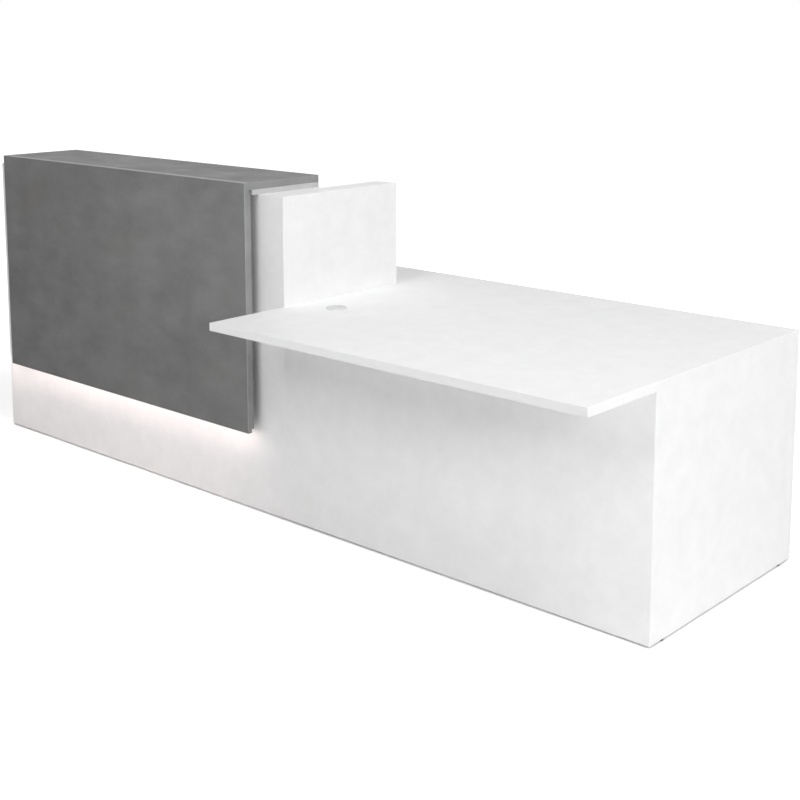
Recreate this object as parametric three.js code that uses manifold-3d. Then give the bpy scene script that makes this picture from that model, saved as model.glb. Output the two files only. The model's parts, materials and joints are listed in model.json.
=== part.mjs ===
// Reception desk: a low desk with a mitred waterfall end, and a raised counter behind a lit fascia.
// Millimetres, +Z up. +X runs along the desk to the visitor's right, +Y points to the staff side.
// The workshop frame starts at the left end, on the front panels' face and on the floor.
import * as THREE from "three";
import { mergeVertices } from "three/addons/utils/BufferGeometryUtils.js";
import Module from "manifold-3d";

const wasm = await Module();
wasm.setup();

// Overall sizes
const HIGH_LENGTH = 1680;
const LOW_LENGTH = 1420;
const DESK_HEIGHT = 740;
const COUNTER_HEIGHT = 1150;
const DESK_DEPTH = 830;
const OVERHANG = 320;
const FLOOR_GAP = 6;

// Board thicknesses
const BOARD = 25;
const THIN_BOARD = 18;
const FASCIA_BOARD = 18;
const BACKING_BOARD = 16;
const COUNTER_BOARD = 25;
const SUB_TOP_BOARD = 18;

// Raised counter
const COUNTER_DEPTH = 344;
const FASCIA_BOTTOM = 295;
const BACKING_RISE = 10;
const BACKING_INSET = 8;
const LIGHT_GAP = 30;
const TOWER_WIDTH = 98;
const TOWER_DEPTH = 556;
const BASE_BATTEN_HEIGHT = 20;
const BASE_BATTEN_SETBACK = 60;
const COUNTER_BATTEN_HEIGHT = 40;
const REAR_RAIL_HEIGHT = 60;
const REAR_RAIL_SETBACK = 18;
const MID_PANEL_SETBACK = 30;

// Hanging cleats of the fascia
const CLEAT_HEIGHT = 60;
const CLEAT_INSET = 100;
const LOWER_CLEAT_LIFT = 120;
const UPPER_CLEAT_DROP = 72;
const CLEAT_PLAY = 1;

// Light channel under the fascia
const LED_WIDTH = 15;
const LED_HEIGHT = 8;
const LED_WALL = 1.25;
const LED_LIP = 1.25;
const LED_INSET = 20;
const LED_STRIP_WIDTH = 8;
const LED_STRIP_THICKNESS = 1.5;
const DIFFUSER_THICKNESS = 1;
const END_CAP_THICKNESS = 2;

// Lighting driver and its lead
const DRIVER_LENGTH = 170;
const DRIVER_HEIGHT = 42;
const DRIVER_DEPTH = 32;
const DRIVER_EAR = 14;
const DRIVER_EAR_THICKNESS = 3;
const DRIVER_SCREW_HOLE = 5;
const DRIVER_START = 190;
const DRIVER_LIFT = 60;
const INLET_WIDTH = 18;
const INLET_HEIGHT = 10;
const INLET_DEPTH = 14;
const LEAD_DIAMETER = 4.5;
const LEAD_HOLE = 9;
const LEAD_HOLE_OFFSET = 5;
const LEAD_HOLE_LIFT = 73;
const LEAD_STEPS = 44;

// Cable grommet in the low desktop
const GROMMET_HOLE = 60;
const GROMMET_FROM_TOWER = 140;
const GROMMET_FROM_FRONT = 105;
const FLANGE_DIAMETER = 70;
const FLANGE_HEIGHT = 3;
const FLANGE_RIM = 2.5;
const LINER_WALL = 3;
const LINER_DEPTH = 22;
const CAP_PLATE = 2;
const SKIRT_WALL = 1.6;
const SKIRT_DEPTH = 7;
const PIVOT_DIAMETER = 6;
const PIVOT_HEAD_DIAMETER = 9;
const PIVOT_HEAD_HEIGHT = 1;
const NOTCH_WIDTH = 18;
const NOTCH_REACH = 16;
const SHUTTER_THICKNESS = 1.6;
const SHUTTER_HUB = 6;
const SHUTTER_HALF_ANGLE = THREE.MathUtils.degToRad(40);

// Levelling feet
const FOOT_DIAMETER = 24;
const FOOT_CHAMFER = 1;
const FOOT_INSET = 70;
const STUD_DIAMETER = 7.4;
const STUD_LENGTH = 32;
const INSERT_DIAMETER = 11;
const INSERT_LENGTH = 26;
const INSERT_FLANGE_DIAMETER = 18;
const INSERT_FLANGE = 1.5;
const FOOT_HOLE_DEPTH = 42;

// Steel angle brackets
const BRACKET_LEG = 40;
const BRACKET_LENGTH = 60;
const BRACKET_STEEL = 3;
const BRACKET_HOLE = 5;
const BRACKET_HOLE_SPACING = 32;

// Clearances
const FIT = 0.3;
const MITRE_GAP = 0.4;
const OVERCUT = 1;
const ROUND_SIDES = 32;
const GRID = 64;

// Levels and planes that several pieces share
const LENGTH = HIGH_LENGTH + LOW_LENGTH;
const deskUnder = DESK_HEIGHT - BOARD;
const subTopUnder = COUNTER_HEIGHT - COUNTER_BOARD - SUB_TOP_BOARD;
const counterUnder = COUNTER_HEIGHT - COUNTER_BOARD;
const backingBack = -LIGHT_GAP;
const fasciaBack = backingBack - BACKING_BOARD;
const fasciaFront = fasciaBack - FASCIA_BOARD;
const counterBack = fasciaFront + COUNTER_DEPTH;
const backingBottom = FASCIA_BOTTOM + BACKING_RISE;
const counterLeft = TOWER_WIDTH + THIN_BOARD;
const counterRight = HIGH_LENGTH - counterLeft;
const towerBackStart = TOWER_DEPTH - THIN_BOARD;
const midPanelBack = DESK_DEPTH - MID_PANEL_SETBACK;
const footHeight = FLOOR_GAP - INSERT_FLANGE;

const finishes = {
  white: { color: 0xeeeeef, roughness: 0.42, metalness: 0 },
  concrete: { color: 0x67686a, roughness: 0.72, metalness: 0 },
  darkBacking: { color: 0x3c3d3f, roughness: 0.8, metalness: 0 },
  timber: { color: 0xc9ad82, roughness: 0.75, metalness: 0 },
  aluminium: { color: 0xb8babd, roughness: 0.35, metalness: 0.9 },
  circuit: { color: 0xf4efe2, roughness: 0.5, metalness: 0 },
  opal: { color: 0xfff3ea, roughness: 0.55, metalness: 0, emissive: 0xffd9c8 },
  greyPlastic: { color: 0xb9bbbd, roughness: 0.5, metalness: 0 },
  whitePlastic: { color: 0xdfe0e1, roughness: 0.5, metalness: 0 },
  blackPlastic: { color: 0x1d1e20, roughness: 0.55, metalness: 0 },
  zinc: { color: 0xa9adb1, roughness: 0.38, metalness: 0.95 },
};

// Faces lie on a fine grid, so boards that touch share exact coordinates.
const snap = (value) => Math.round(value * GRID) / GRID;

function addMesh(parent, name, finish, geometry) {
  const mesh = new THREE.Mesh(geometry, new THREE.MeshStandardMaterial(finishes[finish]));
  mesh.name = name;
  parent.add(mesh);
  return mesh;
}

// A square-edged board between three pairs of faces.
function addBoard(parent, name, finish, x, y, z) {
  const spans = [x, y, z].map((pair) => pair.map(snap));
  const size = spans.map(([low, high]) => high - low);
  const mesh = addMesh(parent, name, finish, new THREE.BoxGeometry(...size));
  mesh.position.set(...spans.map(([low, high]) => (low + high) / 2));
  return mesh;
}

// A straight prism: the outline's two coordinates are (x, y), (y, z) or (x, z) for axis z, x or y.
function prism(outline, axis, from, to) {
  const [low, high] = [snap(from), snap(to)];
  const shape = new THREE.Shape(outline.map(([u, v]) => new THREE.Vector2(snap(u), snap(v))));
  const geometry = new THREE.ExtrudeGeometry(shape, { depth: high - low, bevelEnabled: false });
  if (axis === "x") geometry.rotateZ(Math.PI / 2).rotateY(Math.PI / 2);
  if (axis === "y") geometry.rotateX(Math.PI / 2);
  const shift = { x: [low, 0, 0], y: [0, high, 0], z: [0, 0, low] }[axis];
  return geometry.translate(...shift);
}

// A round bar along an axis, between two coordinates on it, through a centre point.
function bar(diameter, axis, centre, from, to, sides = ROUND_SIDES) {
  const geometry = new THREE.CylinderGeometry(diameter / 2, diameter / 2, to - from, sides);
  if (axis === "z") geometry.rotateX(Math.PI / 2);
  if (axis === "x") geometry.rotateZ(Math.PI / 2);
  const at = new THREE.Vector3(...centre);
  at[axis] = (from + to) / 2;
  return geometry.translate(at.x, at.y, at.z);
}

// A turned piece about the Z axis, from (radius, height) pairs.
function turned(profile, sides = ROUND_SIDES) {
  const points = profile.map(([radius, height]) => new THREE.Vector2(radius, height));
  return new THREE.LatheGeometry(points, sides).rotateX(Math.PI / 2);
}

function solidOf(geometry) {
  const plain = geometry.index ? geometry.toNonIndexed() : geometry.clone();
  plain.deleteAttribute("normal");
  plain.deleteAttribute("uv");
  const merged = mergeVertices(plain, 1e-4);
  return new wasm.Manifold(
    new wasm.Mesh({
      numProp: 3,
      vertProperties: new Float32Array(merged.attributes.position.array),
      triVerts: new Uint32Array(merged.index.array),
    }),
  );
}

function geometryOf(solid) {
  const mesh = solid.getMesh();
  const geometry = new THREE.BufferGeometry();
  geometry.setAttribute("position", new THREE.BufferAttribute(new Float32Array(mesh.vertProperties), 3));
  geometry.setIndex(new THREE.BufferAttribute(new Uint32Array(mesh.triVerts), 1));
  geometry.computeVertexNormals();
  return geometry;
}

const cut = (body, ...tools) =>
  geometryOf(tools.reduce((solid, tool) => solid.subtract(solidOf(tool)), solidOf(body)));
const join = (...bodies) => geometryOf(bodies.map(solidOf).reduce((whole, solid) => whole.add(solid)));

const desk = new THREE.Group();
const workshop = new THREE.Group();
workshop.position.set(-LENGTH / 2, -(DESK_DEPTH - OVERHANG) / 2, 0);
desk.add(workshop);

// The low section has its own frame at the tower's outer face.
const lowSection = new THREE.Group();
lowSection.position.x = HIGH_LENGTH;
workshop.add(lowSection);

// Where a levelling foot enters a panel's lower edge.
const footHole = (x, y) =>
  bar(INSERT_DIAMETER + 2 * FIT, "z", [x, y, 0], FLOOR_GAP - OVERCUT, FLOOR_GAP + FOOT_HOLE_DEPTH);

const footPlaces = {
  left: { x: BOARD / 2, front: FOOT_INSET, back: DESK_DEPTH - FOOT_INSET },
  middle: { x: HIGH_LENGTH, front: BOARD + FOOT_INSET, back: midPanelBack - FOOT_INSET },
  right: { x: LENGTH - BOARD / 2, front: FOOT_INSET, back: DESK_DEPTH - FOOT_INSET },
};

const leadHole = { x: counterLeft + LEAD_HOLE_OFFSET, z: FASCIA_BOTTOM + LEAD_HOLE_LIFT };

// Front panel of the high section, mitred at the left corner and drilled for the lighting lead.
function buildFrontPanelHigh() {
  const plan = [[0, 0], [HIGH_LENGTH, 0], [HIGH_LENGTH, BOARD], [BOARD, BOARD]];
  const panel = prism(plan, "z", FLOOR_GAP, subTopUnder);
  const hole = bar(LEAD_HOLE, "y", [leadHole.x, 0, leadHole.z], -OVERCUT, BOARD + OVERCUT);
  addMesh(workshop, "front_panel_high", "white", cut(panel, hole));
}

// Left end: one board that rises as the tower's outer side, mitred to the front panel.
function buildEndPanelLeft() {
  const side = [
    [0, FLOOR_GAP],
    [DESK_DEPTH, FLOOR_GAP],
    [DESK_DEPTH, DESK_HEIGHT],
    [TOWER_DEPTH, DESK_HEIGHT],
    [TOWER_DEPTH, subTopUnder],
    [0, subTopUnder],
  ];
  const mitre = [
    [-OVERCUT, MITRE_GAP - OVERCUT],
    [BOARD + OVERCUT, MITRE_GAP - OVERCUT],
    [BOARD + OVERCUT, BOARD + MITRE_GAP + OVERCUT],
  ];
  const { x, front, back } = footPlaces.left;
  const geometry = cut(
    prism(side, "x", 0, BOARD),
    prism(mitre, "z", 0, COUNTER_HEIGHT),
    footHole(x, front),
    footHole(x, back),
  );
  addMesh(workshop, "end_panel_left", "white", geometry);
}

// The panel under the joint of the two worktops, which carries both.
function buildMidPanel() {
  const { x, front, back } = footPlaces.middle;
  const [left, right] = [HIGH_LENGTH - BOARD / 2, HIGH_LENGTH + BOARD / 2];
  const plan = [[left, BOARD], [right, BOARD], [right, midPanelBack], [left, midPanelBack]];
  const geometry = cut(prism(plan, "z", FLOOR_GAP, deskUnder), footHole(x, front), footHole(x, back));
  addMesh(workshop, "mid_support_panel", "white", geometry);
}

// Low front panel, mitred to the right end panel.
function buildFrontPanelLow() {
  const plan = [[0, 0], [LOW_LENGTH, 0], [LOW_LENGTH - BOARD, BOARD], [0, BOARD]];
  addMesh(lowSection, "front_panel_low", "white", prism(plan, "z", FLOOR_GAP, deskUnder));
}

// Low desktop: its right edge is mitred down into the end panel, behind the square-edged overhang.
function buildDesktop() {
  const plan = [[0, -OVERHANG], [LOW_LENGTH, -OVERHANG], [LOW_LENGTH, DESK_DEPTH], [0, DESK_DEPTH]];
  const mitre = [
    [LOW_LENGTH - BOARD - OVERCUT, deskUnder - OVERCUT],
    [LOW_LENGTH + OVERCUT, deskUnder - OVERCUT],
    [LOW_LENGTH + OVERCUT, DESK_HEIGHT + OVERCUT],
  ];
  const centre = [GROMMET_FROM_TOWER, GROMMET_FROM_FRONT, 0];
  const geometry = cut(
    prism(plan, "z", deskUnder, DESK_HEIGHT),
    prism(mitre, "y", BOARD, DESK_DEPTH + OVERCUT),
    bar(GROMMET_HOLE, "z", centre, deskUnder - OVERCUT, DESK_HEIGHT + OVERCUT),
  );
  addMesh(lowSection, "desktop_low", "white", geometry);
}

// Right end panel: mitred to the front panel at its front edge and to the desktop along its top.
function buildEndPanelRight() {
  const inner = LOW_LENGTH - BOARD;
  const plan = [
    [LOW_LENGTH, MITRE_GAP],
    [LOW_LENGTH, DESK_DEPTH],
    [inner, DESK_DEPTH],
    [inner, BOARD + MITRE_GAP],
  ];
  const topMitre = [
    [inner - OVERCUT, deskUnder - MITRE_GAP - OVERCUT],
    [LOW_LENGTH + OVERCUT, DESK_HEIGHT - MITRE_GAP + OVERCUT],
    [inner - OVERCUT, DESK_HEIGHT - MITRE_GAP + OVERCUT],
  ];
  const frontShoulder = [
    [inner - OVERCUT, deskUnder],
    [LOW_LENGTH + OVERCUT, deskUnder],
    [LOW_LENGTH + OVERCUT, DESK_HEIGHT + OVERCUT],
    [inner - OVERCUT, DESK_HEIGHT + OVERCUT],
  ];
  const { front, back } = footPlaces.right;
  const footX = LOW_LENGTH - BOARD / 2;
  const geometry = cut(
    prism(plan, "z", FLOOR_GAP, DESK_HEIGHT),
    prism(topMitre, "y", BOARD + MITRE_GAP, DESK_DEPTH + OVERCUT),
    prism(frontShoulder, "y", -OVERCUT, BOARD + MITRE_GAP),
    footHole(footX, front),
    footHole(footX, back),
  );
  addMesh(lowSection, "end_panel_right", "white", geometry);
}

function buildDeskBoards() {
  buildFrontPanelHigh();
  buildEndPanelLeft();
  buildMidPanel();
  const worktop = [[BOARD, HIGH_LENGTH], [BOARD, DESK_DEPTH], [deskUnder, DESK_HEIGHT]];
  addBoard(workshop, "worktop_high", "white", ...worktop);
  buildFrontPanelLow();
  buildDesktop();
  buildEndPanelRight();
}

// A hollow tower on the worktop: skins, back strip and cap round a base batten.
function buildTower(side, skins, hollow, strip) {
  const height = [DESK_HEIGHT, subTopUnder];
  const depth = [BOARD, towerBackStart];
  for (const [skin, span] of Object.entries(skins)) {
    addBoard(workshop, `tower_${side}_${skin}_skin`, "white", span, depth, height);
  }
  addBoard(workshop, `tower_${side}_back`, "white", strip, [towerBackStart, TOWER_DEPTH], height);
  addBoard(workshop, `tower_${side}_cap`, "white", hollow, depth, [subTopUnder - THIN_BOARD, subTopUnder]);
  const battenDepth = [BOARD + BASE_BATTEN_SETBACK, towerBackStart - BASE_BATTEN_SETBACK];
  const battenHeight = [DESK_HEIGHT, DESK_HEIGHT + BASE_BATTEN_HEIGHT];
  addBoard(workshop, `tower_${side}_base_batten`, "timber", hollow, battenDepth, battenHeight);
}

function buildTowers() {
  const leftInner = [TOWER_WIDTH - THIN_BOARD, TOWER_WIDTH];
  buildTower("left", { inner: leftInner }, [BOARD, leftInner[0]], [BOARD, TOWER_WIDTH]);
  const start = HIGH_LENGTH - TOWER_WIDTH;
  const rightSkins = {
    inner: [start, start + THIN_BOARD],
    outer: [HIGH_LENGTH - THIN_BOARD, HIGH_LENGTH],
  };
  const hollow = [rightSkins.inner[1], rightSkins.outer[0]];
  buildTower("right", rightSkins, hollow, [start, HIGH_LENGTH]);
}

// Gables, battens and rear rail under the raised counter, then its sub-top and top.
function buildCounter() {
  const gableHeight = [DESK_HEIGHT, subTopUnder];
  const gableDepth = [BOARD, counterBack];
  const railBack = counterBack - REAR_RAIL_SETBACK;
  const battenHeight = [subTopUnder - COUNTER_BATTEN_HEIGHT, subTopUnder];
  const sides = {
    left: { gable: [TOWER_WIDTH, counterLeft], batten: [counterLeft, counterLeft + THIN_BOARD] },
    right: {
      gable: [counterRight, counterRight + THIN_BOARD],
      batten: [counterRight - THIN_BOARD, counterRight],
    },
  };
  for (const [side, { gable, batten }] of Object.entries(sides)) {
    addBoard(workshop, `counter_gable_${side}`, "white", gable, gableDepth, gableHeight);
    addBoard(workshop, `counter_batten_${side}`, "white", batten, [BOARD, railBack], battenHeight);
  }
  const railSpan = [sides.left.batten[1], sides.right.batten[0]];
  const railHeight = [subTopUnder - REAR_RAIL_HEIGHT, subTopUnder];
  addBoard(workshop, "counter_rear_rail", "white", railSpan, [railBack - THIN_BOARD, railBack], railHeight);
  const span = [counterLeft, counterRight];
  addBoard(workshop, "counter_sub_top", "white", span, [backingBack, counterBack], [subTopUnder, counterUnder]);
  addBoard(workshop, "counter_top", "concrete", span, [fasciaBack, counterBack], [counterUnder, COUNTER_HEIGHT]);
}

// Fascia, its backing and the two pairs of hooked cleats that hang it on the front panel.
function buildFascia() {
  const span = [counterLeft, counterRight];
  addBoard(workshop, "fascia_panel", "concrete", span, [fasciaFront, fasciaBack], [FASCIA_BOTTOM, COUNTER_HEIGHT]);
  const backingSpan = [counterLeft + BACKING_INSET, counterRight - BACKING_INSET];
  const backingDepth = [fasciaBack, backingBack];
  addBoard(workshop, "fascia_backing", "darkBacking", backingSpan, backingDepth, [backingBottom, counterUnder]);
  const [left, right] = [counterLeft + CLEAT_INSET, counterRight - CLEAT_INSET];
  const pairHeight = 2 * CLEAT_HEIGHT - LIGHT_GAP;
  const feet = {
    lower: backingBottom + LOWER_CLEAT_LIFT,
    upper: subTopUnder - UPPER_CLEAT_DROP - pairHeight,
  };
  for (const [level, foot] of Object.entries(feet)) {
    const tip = foot + CLEAT_HEIGHT;
    const head = foot + pairHeight;
    const wallFace = backingBack + CLEAT_PLAY;
    const wallCleat = [[0, foot], [0, tip - LIGHT_GAP], [wallFace, tip - CLEAT_PLAY], [wallFace, foot]];
    addMesh(workshop, `wall_cleat_${level}`, "timber", prism(wallCleat, "x", left, right));
    const fasciaCleat = [
      [backingBack, tip + MITRE_GAP],
      [-CLEAT_PLAY, tip - LIGHT_GAP + CLEAT_PLAY + MITRE_GAP],
      [-CLEAT_PLAY, head],
      [backingBack, head],
    ];
    addMesh(workshop, `fascia_cleat_${level}`, "timber", prism(fasciaCleat, "x", left, right));
  }
}

// Light channel under the backing: extruded profile, light strip, opal diffuser and end caps.
function buildLightChannel() {
  const channel = new THREE.Group();
  channel.position.set(0, fasciaBack + BACKING_BOARD / 2, backingBottom);
  workshop.add(channel);
  const [start, end] = [counterLeft + LED_INSET, counterRight - LED_INSET];
  const [half, inside] = [LED_WIDTH / 2, LED_WIDTH / 2 - LED_WALL];
  const lipEdge = inside - LED_LIP;
  const section = [
    [-half, 0],
    [-half, -LED_HEIGHT],
    [-lipEdge, -LED_HEIGHT],
    [-lipEdge, LED_LIP - LED_HEIGHT],
    [-inside, LED_LIP - LED_HEIGHT],
    [-inside, -LED_WALL],
    [inside, -LED_WALL],
    [inside, LED_LIP - LED_HEIGHT],
    [lipEdge, LED_LIP - LED_HEIGHT],
    [lipEdge, -LED_HEIGHT],
    [half, -LED_HEIGHT],
    [half, 0],
  ];
  addMesh(channel, "light_channel", "aluminium", prism(section, "x", start, end));
  const stripHalf = LED_STRIP_WIDTH / 2;
  const stripHeight = [-LED_WALL - LED_STRIP_THICKNESS, -LED_WALL];
  addBoard(channel, "light_strip", "circuit", [start, end], [-stripHalf, stripHalf], stripHeight);
  const glassHalf = inside - FIT;
  const glassHeight = [LED_LIP - LED_HEIGHT, LED_LIP - LED_HEIGHT + DIFFUSER_THICKNESS];
  addBoard(channel, "light_diffuser", "opal", [start, end], [-glassHalf, glassHalf], glassHeight);
  const face = [[-half, half], [-LED_HEIGHT, 0]];
  addBoard(channel, "light_end_cap_right", "greyPlastic", [end, end + END_CAP_THICKNESS], ...face);
  addBoard(channel, "light_end_cap_left", "greyPlastic", [start - END_CAP_THICKNESS, start], ...face);
}

// Driver on the back of the front panel: a box on two drilled ears, with a mains inlet at its right end.
function buildDriver() {
  const driver = new THREE.Group();
  driver.position.set(DRIVER_START, BOARD, FASCIA_BOTTOM + DRIVER_LIFT);
  workshop.add(driver);
  const bodyEnd = DRIVER_LENGTH - DRIVER_EAR;
  const plan = [
    [0, 0],
    [DRIVER_LENGTH, 0],
    [DRIVER_LENGTH, DRIVER_EAR_THICKNESS],
    [bodyEnd, DRIVER_EAR_THICKNESS],
    [bodyEnd, DRIVER_DEPTH],
    [DRIVER_EAR, DRIVER_DEPTH],
    [DRIVER_EAR, DRIVER_EAR_THICKNESS],
    [0, DRIVER_EAR_THICKNESS],
  ];
  const middle = DRIVER_HEIGHT / 2;
  const screwHoles = [DRIVER_EAR / 2, DRIVER_LENGTH - DRIVER_EAR / 2].map((x) =>
    bar(DRIVER_SCREW_HOLE, "y", [x, 0, middle], -OVERCUT, DRIVER_EAR_THICKNESS + OVERCUT, 16),
  );
  const inletDepth = (DRIVER_EAR_THICKNESS + DRIVER_DEPTH) / 2;
  const straight = (INLET_WIDTH - INLET_HEIGHT) / 2;
  const inlet = [-straight, 0, straight].map((step) => {
    const centre = [0, inletDepth, middle + step];
    return bar(INLET_HEIGHT, "x", centre, bodyEnd - INLET_DEPTH, bodyEnd + OVERCUT, 20);
  });
  addMesh(driver, "light_driver", "whitePlastic", cut(prism(plan, "z", 0, DRIVER_HEIGHT), ...screwHoles, ...inlet));
}

// Lighting lead: out of the channel's left cap, up the light gap, through the front panel to the driver.
function buildLead() {
  const channelY = fasciaBack + BACKING_BOARD / 2;
  const channelZ = backingBottom - LED_HEIGHT / 2;
  const capFace = counterLeft + LED_INSET - END_CAP_THICKNESS;
  const driverFace = DRIVER_START + DRIVER_EAR;
  const driverY = BOARD + (DRIVER_EAR_THICKNESS + DRIVER_DEPTH) / 2;
  const route = [
    [capFace - FIT, channelY, channelZ],
    [capFace - 6, channelY, channelZ],
    [leadHole.x + 1, channelY + 10, channelZ],
    [leadHole.x, backingBack + 13, channelZ + 5],
    [leadHole.x, backingBack + 16, channelZ + 20],
    [leadHole.x, backingBack + 17, leadHole.z - 22],
    [leadHole.x, backingBack + 20, leadHole.z - 6],
    [leadHole.x, 0, leadHole.z],
    [leadHole.x, BOARD, leadHole.z],
    [leadHole.x + 4, driverY - 5, leadHole.z],
    [leadHole.x + 20, driverY, leadHole.z + 2],
    [driverFace - 30, driverY, leadHole.z + 4],
    [driverFace - FIT, driverY, leadHole.z + 4],
  ];
  const path = new THREE.CatmullRomCurve3(route.map((point) => new THREE.Vector3(...point)));
  const section = new THREE.Shape().absarc(0, 0, LEAD_DIAMETER / 2, 0, 2 * Math.PI, false);
  const options = { extrudePath: path, steps: LEAD_STEPS, curveSegments: 8 };
  addMesh(workshop, "light_lead", "whitePlastic", new THREE.ExtrudeGeometry(section, options));
}

// Grommet liner: a flanged sleeve in the desktop, with a ledge that carries the cap.
function buildLiner(grommet, boreRadius, recessRadius) {
  const flangeRadius = FLANGE_DIAMETER / 2;
  const sleeveRadius = GROMMET_HOLE / 2 - FIT;
  const ledge = FLANGE_HEIGHT - CAP_PLATE;
  const profile = [
    [boreRadius, -LINER_DEPTH],
    [sleeveRadius, -LINER_DEPTH],
    [sleeveRadius, 0],
    [flangeRadius, 0],
    [flangeRadius, ledge],
    [flangeRadius - ledge, FLANGE_HEIGHT],
    [recessRadius, FLANGE_HEIGHT],
    [recessRadius, ledge],
    [boreRadius, ledge],
    [boreRadius, -LINER_DEPTH],
  ];
  addMesh(grommet, "grommet_liner", "greyPlastic", turned(profile, 48));
}

// Grommet cap: a plate with a skirt, a headed pivot under its middle and a cable notch in its rim.
function buildCap(grommet, boreRadius, recessRadius) {
  const plateUnder = FLANGE_HEIGHT - CAP_PLATE;
  const skirtRadius = boreRadius - FIT;
  const skirtInside = skirtRadius - SKIRT_WALL;
  const pivotRadius = PIVOT_DIAMETER / 2;
  const headTop = plateUnder - SHUTTER_THICKNESS - 2 * FIT;
  const headRadius = PIVOT_HEAD_DIAMETER / 2;
  const profile = [
    [0, headTop - PIVOT_HEAD_HEIGHT],
    [headRadius, headTop - PIVOT_HEAD_HEIGHT],
    [headRadius, headTop],
    [pivotRadius, headTop],
    [pivotRadius, plateUnder],
    [skirtInside, plateUnder],
    [skirtInside, plateUnder - SKIRT_DEPTH],
    [skirtRadius, plateUnder - SKIRT_DEPTH],
    [skirtRadius, plateUnder],
    [recessRadius - FIT, plateUnder],
    [recessRadius - FIT, FLANGE_HEIGHT],
    [0, FLANGE_HEIGHT],
  ];
  const half = NOTCH_WIDTH / 2;
  const [low, high] = [plateUnder - SKIRT_DEPTH - OVERCUT, FLANGE_HEIGHT + OVERCUT];
  const slot = [[-half, NOTCH_REACH], [half, NOTCH_REACH], [half, recessRadius], [-half, recessRadius]];
  const notch = join(prism(slot, "z", low, high), bar(NOTCH_WIDTH, "z", [0, NOTCH_REACH, 0], low, high));
  addMesh(grommet, "grommet_cap", "greyPlastic", cut(turned(profile, 48), notch));
  return { shutterRadius: skirtInside - FIT, shutterTop: plateUnder - FIT };
}

// Grommet shutter: a sector that turns on the cap's pivot and closes the notch from below.
function buildShutter(grommet, { shutterRadius, shutterTop }) {
  const middle = Math.PI / 2;
  const [first, last] = [middle - SHUTTER_HALF_ANGLE, middle + SHUTTER_HALF_ANGLE];
  const shape = new THREE.Shape();
  shape.absarc(0, 0, shutterRadius, first, last, false);
  shape.absarc(0, 0, SHUTTER_HUB, last, first + 2 * Math.PI, false);
  const hole = new THREE.Path().absarc(0, 0, PIVOT_DIAMETER / 2 + FIT, 0, 2 * Math.PI, true);
  shape.holes.push(hole);
  const options = { depth: SHUTTER_THICKNESS, bevelEnabled: false, curveSegments: 20 };
  const plate = new THREE.ExtrudeGeometry(shape, options);
  const mesh = addMesh(grommet, "grommet_shutter", "greyPlastic", plate);
  mesh.position.z = shutterTop - SHUTTER_THICKNESS;
}

function buildGrommet() {
  const grommet = new THREE.Group();
  grommet.position.set(GROMMET_FROM_TOWER, GROMMET_FROM_FRONT, DESK_HEIGHT);
  lowSection.add(grommet);
  const boreRadius = GROMMET_HOLE / 2 - FIT - LINER_WALL;
  const recessRadius = FLANGE_DIAMETER / 2 - FLANGE_RIM;
  buildLiner(grommet, boreRadius, recessRadius);
  buildShutter(grommet, buildCap(grommet, boreRadius, recessRadius));
}

// A levelling foot with its stud, screwed into a flanged insert in the panel's lower edge.
function buildFoot(place, x, y) {
  const group = new THREE.Group();
  group.position.set(x, y, 0);
  workshop.add(group);
  const [baseRadius, studRadius] = [FOOT_DIAMETER / 2, STUD_DIAMETER / 2];
  const studTop = footHeight + STUD_LENGTH;
  const foot = [
    [0, 0],
    [baseRadius - FOOT_CHAMFER, 0],
    [baseRadius, FOOT_CHAMFER],
    [baseRadius, footHeight],
    [studRadius, footHeight],
    [studRadius, studTop - FOOT_CHAMFER],
    [studRadius - FOOT_CHAMFER, studTop],
    [0, studTop],
  ];
  addMesh(group, `levelling_foot_${place}`, "blackPlastic", turned(foot, 24));
  const [sleeve, flange, bore] = [INSERT_DIAMETER / 2, INSERT_FLANGE_DIAMETER / 2, studRadius + FIT];
  const insert = [
    [bore, footHeight],
    [flange, footHeight],
    [flange, FLOOR_GAP],
    [sleeve, FLOOR_GAP],
    [sleeve, FLOOR_GAP + INSERT_LENGTH],
    [bore, FLOOR_GAP + INSERT_LENGTH],
    [bore, footHeight],
  ];
  addMesh(group, `foot_insert_${place}`, "zinc", turned(insert, 24));
}

function buildFeet() {
  for (const [panel, { x, front, back }] of Object.entries(footPlaces)) {
    buildFoot(`${panel}_front`, x, front);
    buildFoot(`${panel}_back`, x, back);
  }
}

// A drilled steel angle: one leg up against the worktop, the other against a panel on its -X side.
function bracketGeometry() {
  const profile = [
    [0, 0],
    [0, -BRACKET_LEG],
    [BRACKET_STEEL, -BRACKET_LEG],
    [BRACKET_STEEL, -BRACKET_STEEL],
    [BRACKET_LEG, -BRACKET_STEEL],
    [BRACKET_LEG, 0],
  ];
  const half = BRACKET_LENGTH / 2;
  const reach = (BRACKET_LEG + BRACKET_STEEL) / 2;
  const holes = [-BRACKET_HOLE_SPACING / 2, BRACKET_HOLE_SPACING / 2].flatMap((y) => [
    bar(BRACKET_HOLE, "z", [reach, y, 0], -BRACKET_STEEL - OVERCUT, OVERCUT, 16),
    bar(BRACKET_HOLE, "x", [0, y, -reach], -OVERCUT, BRACKET_STEEL + OVERCUT, 16),
  ]);
  return cut(prism(profile, "y", -half, half), ...holes);
}

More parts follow.
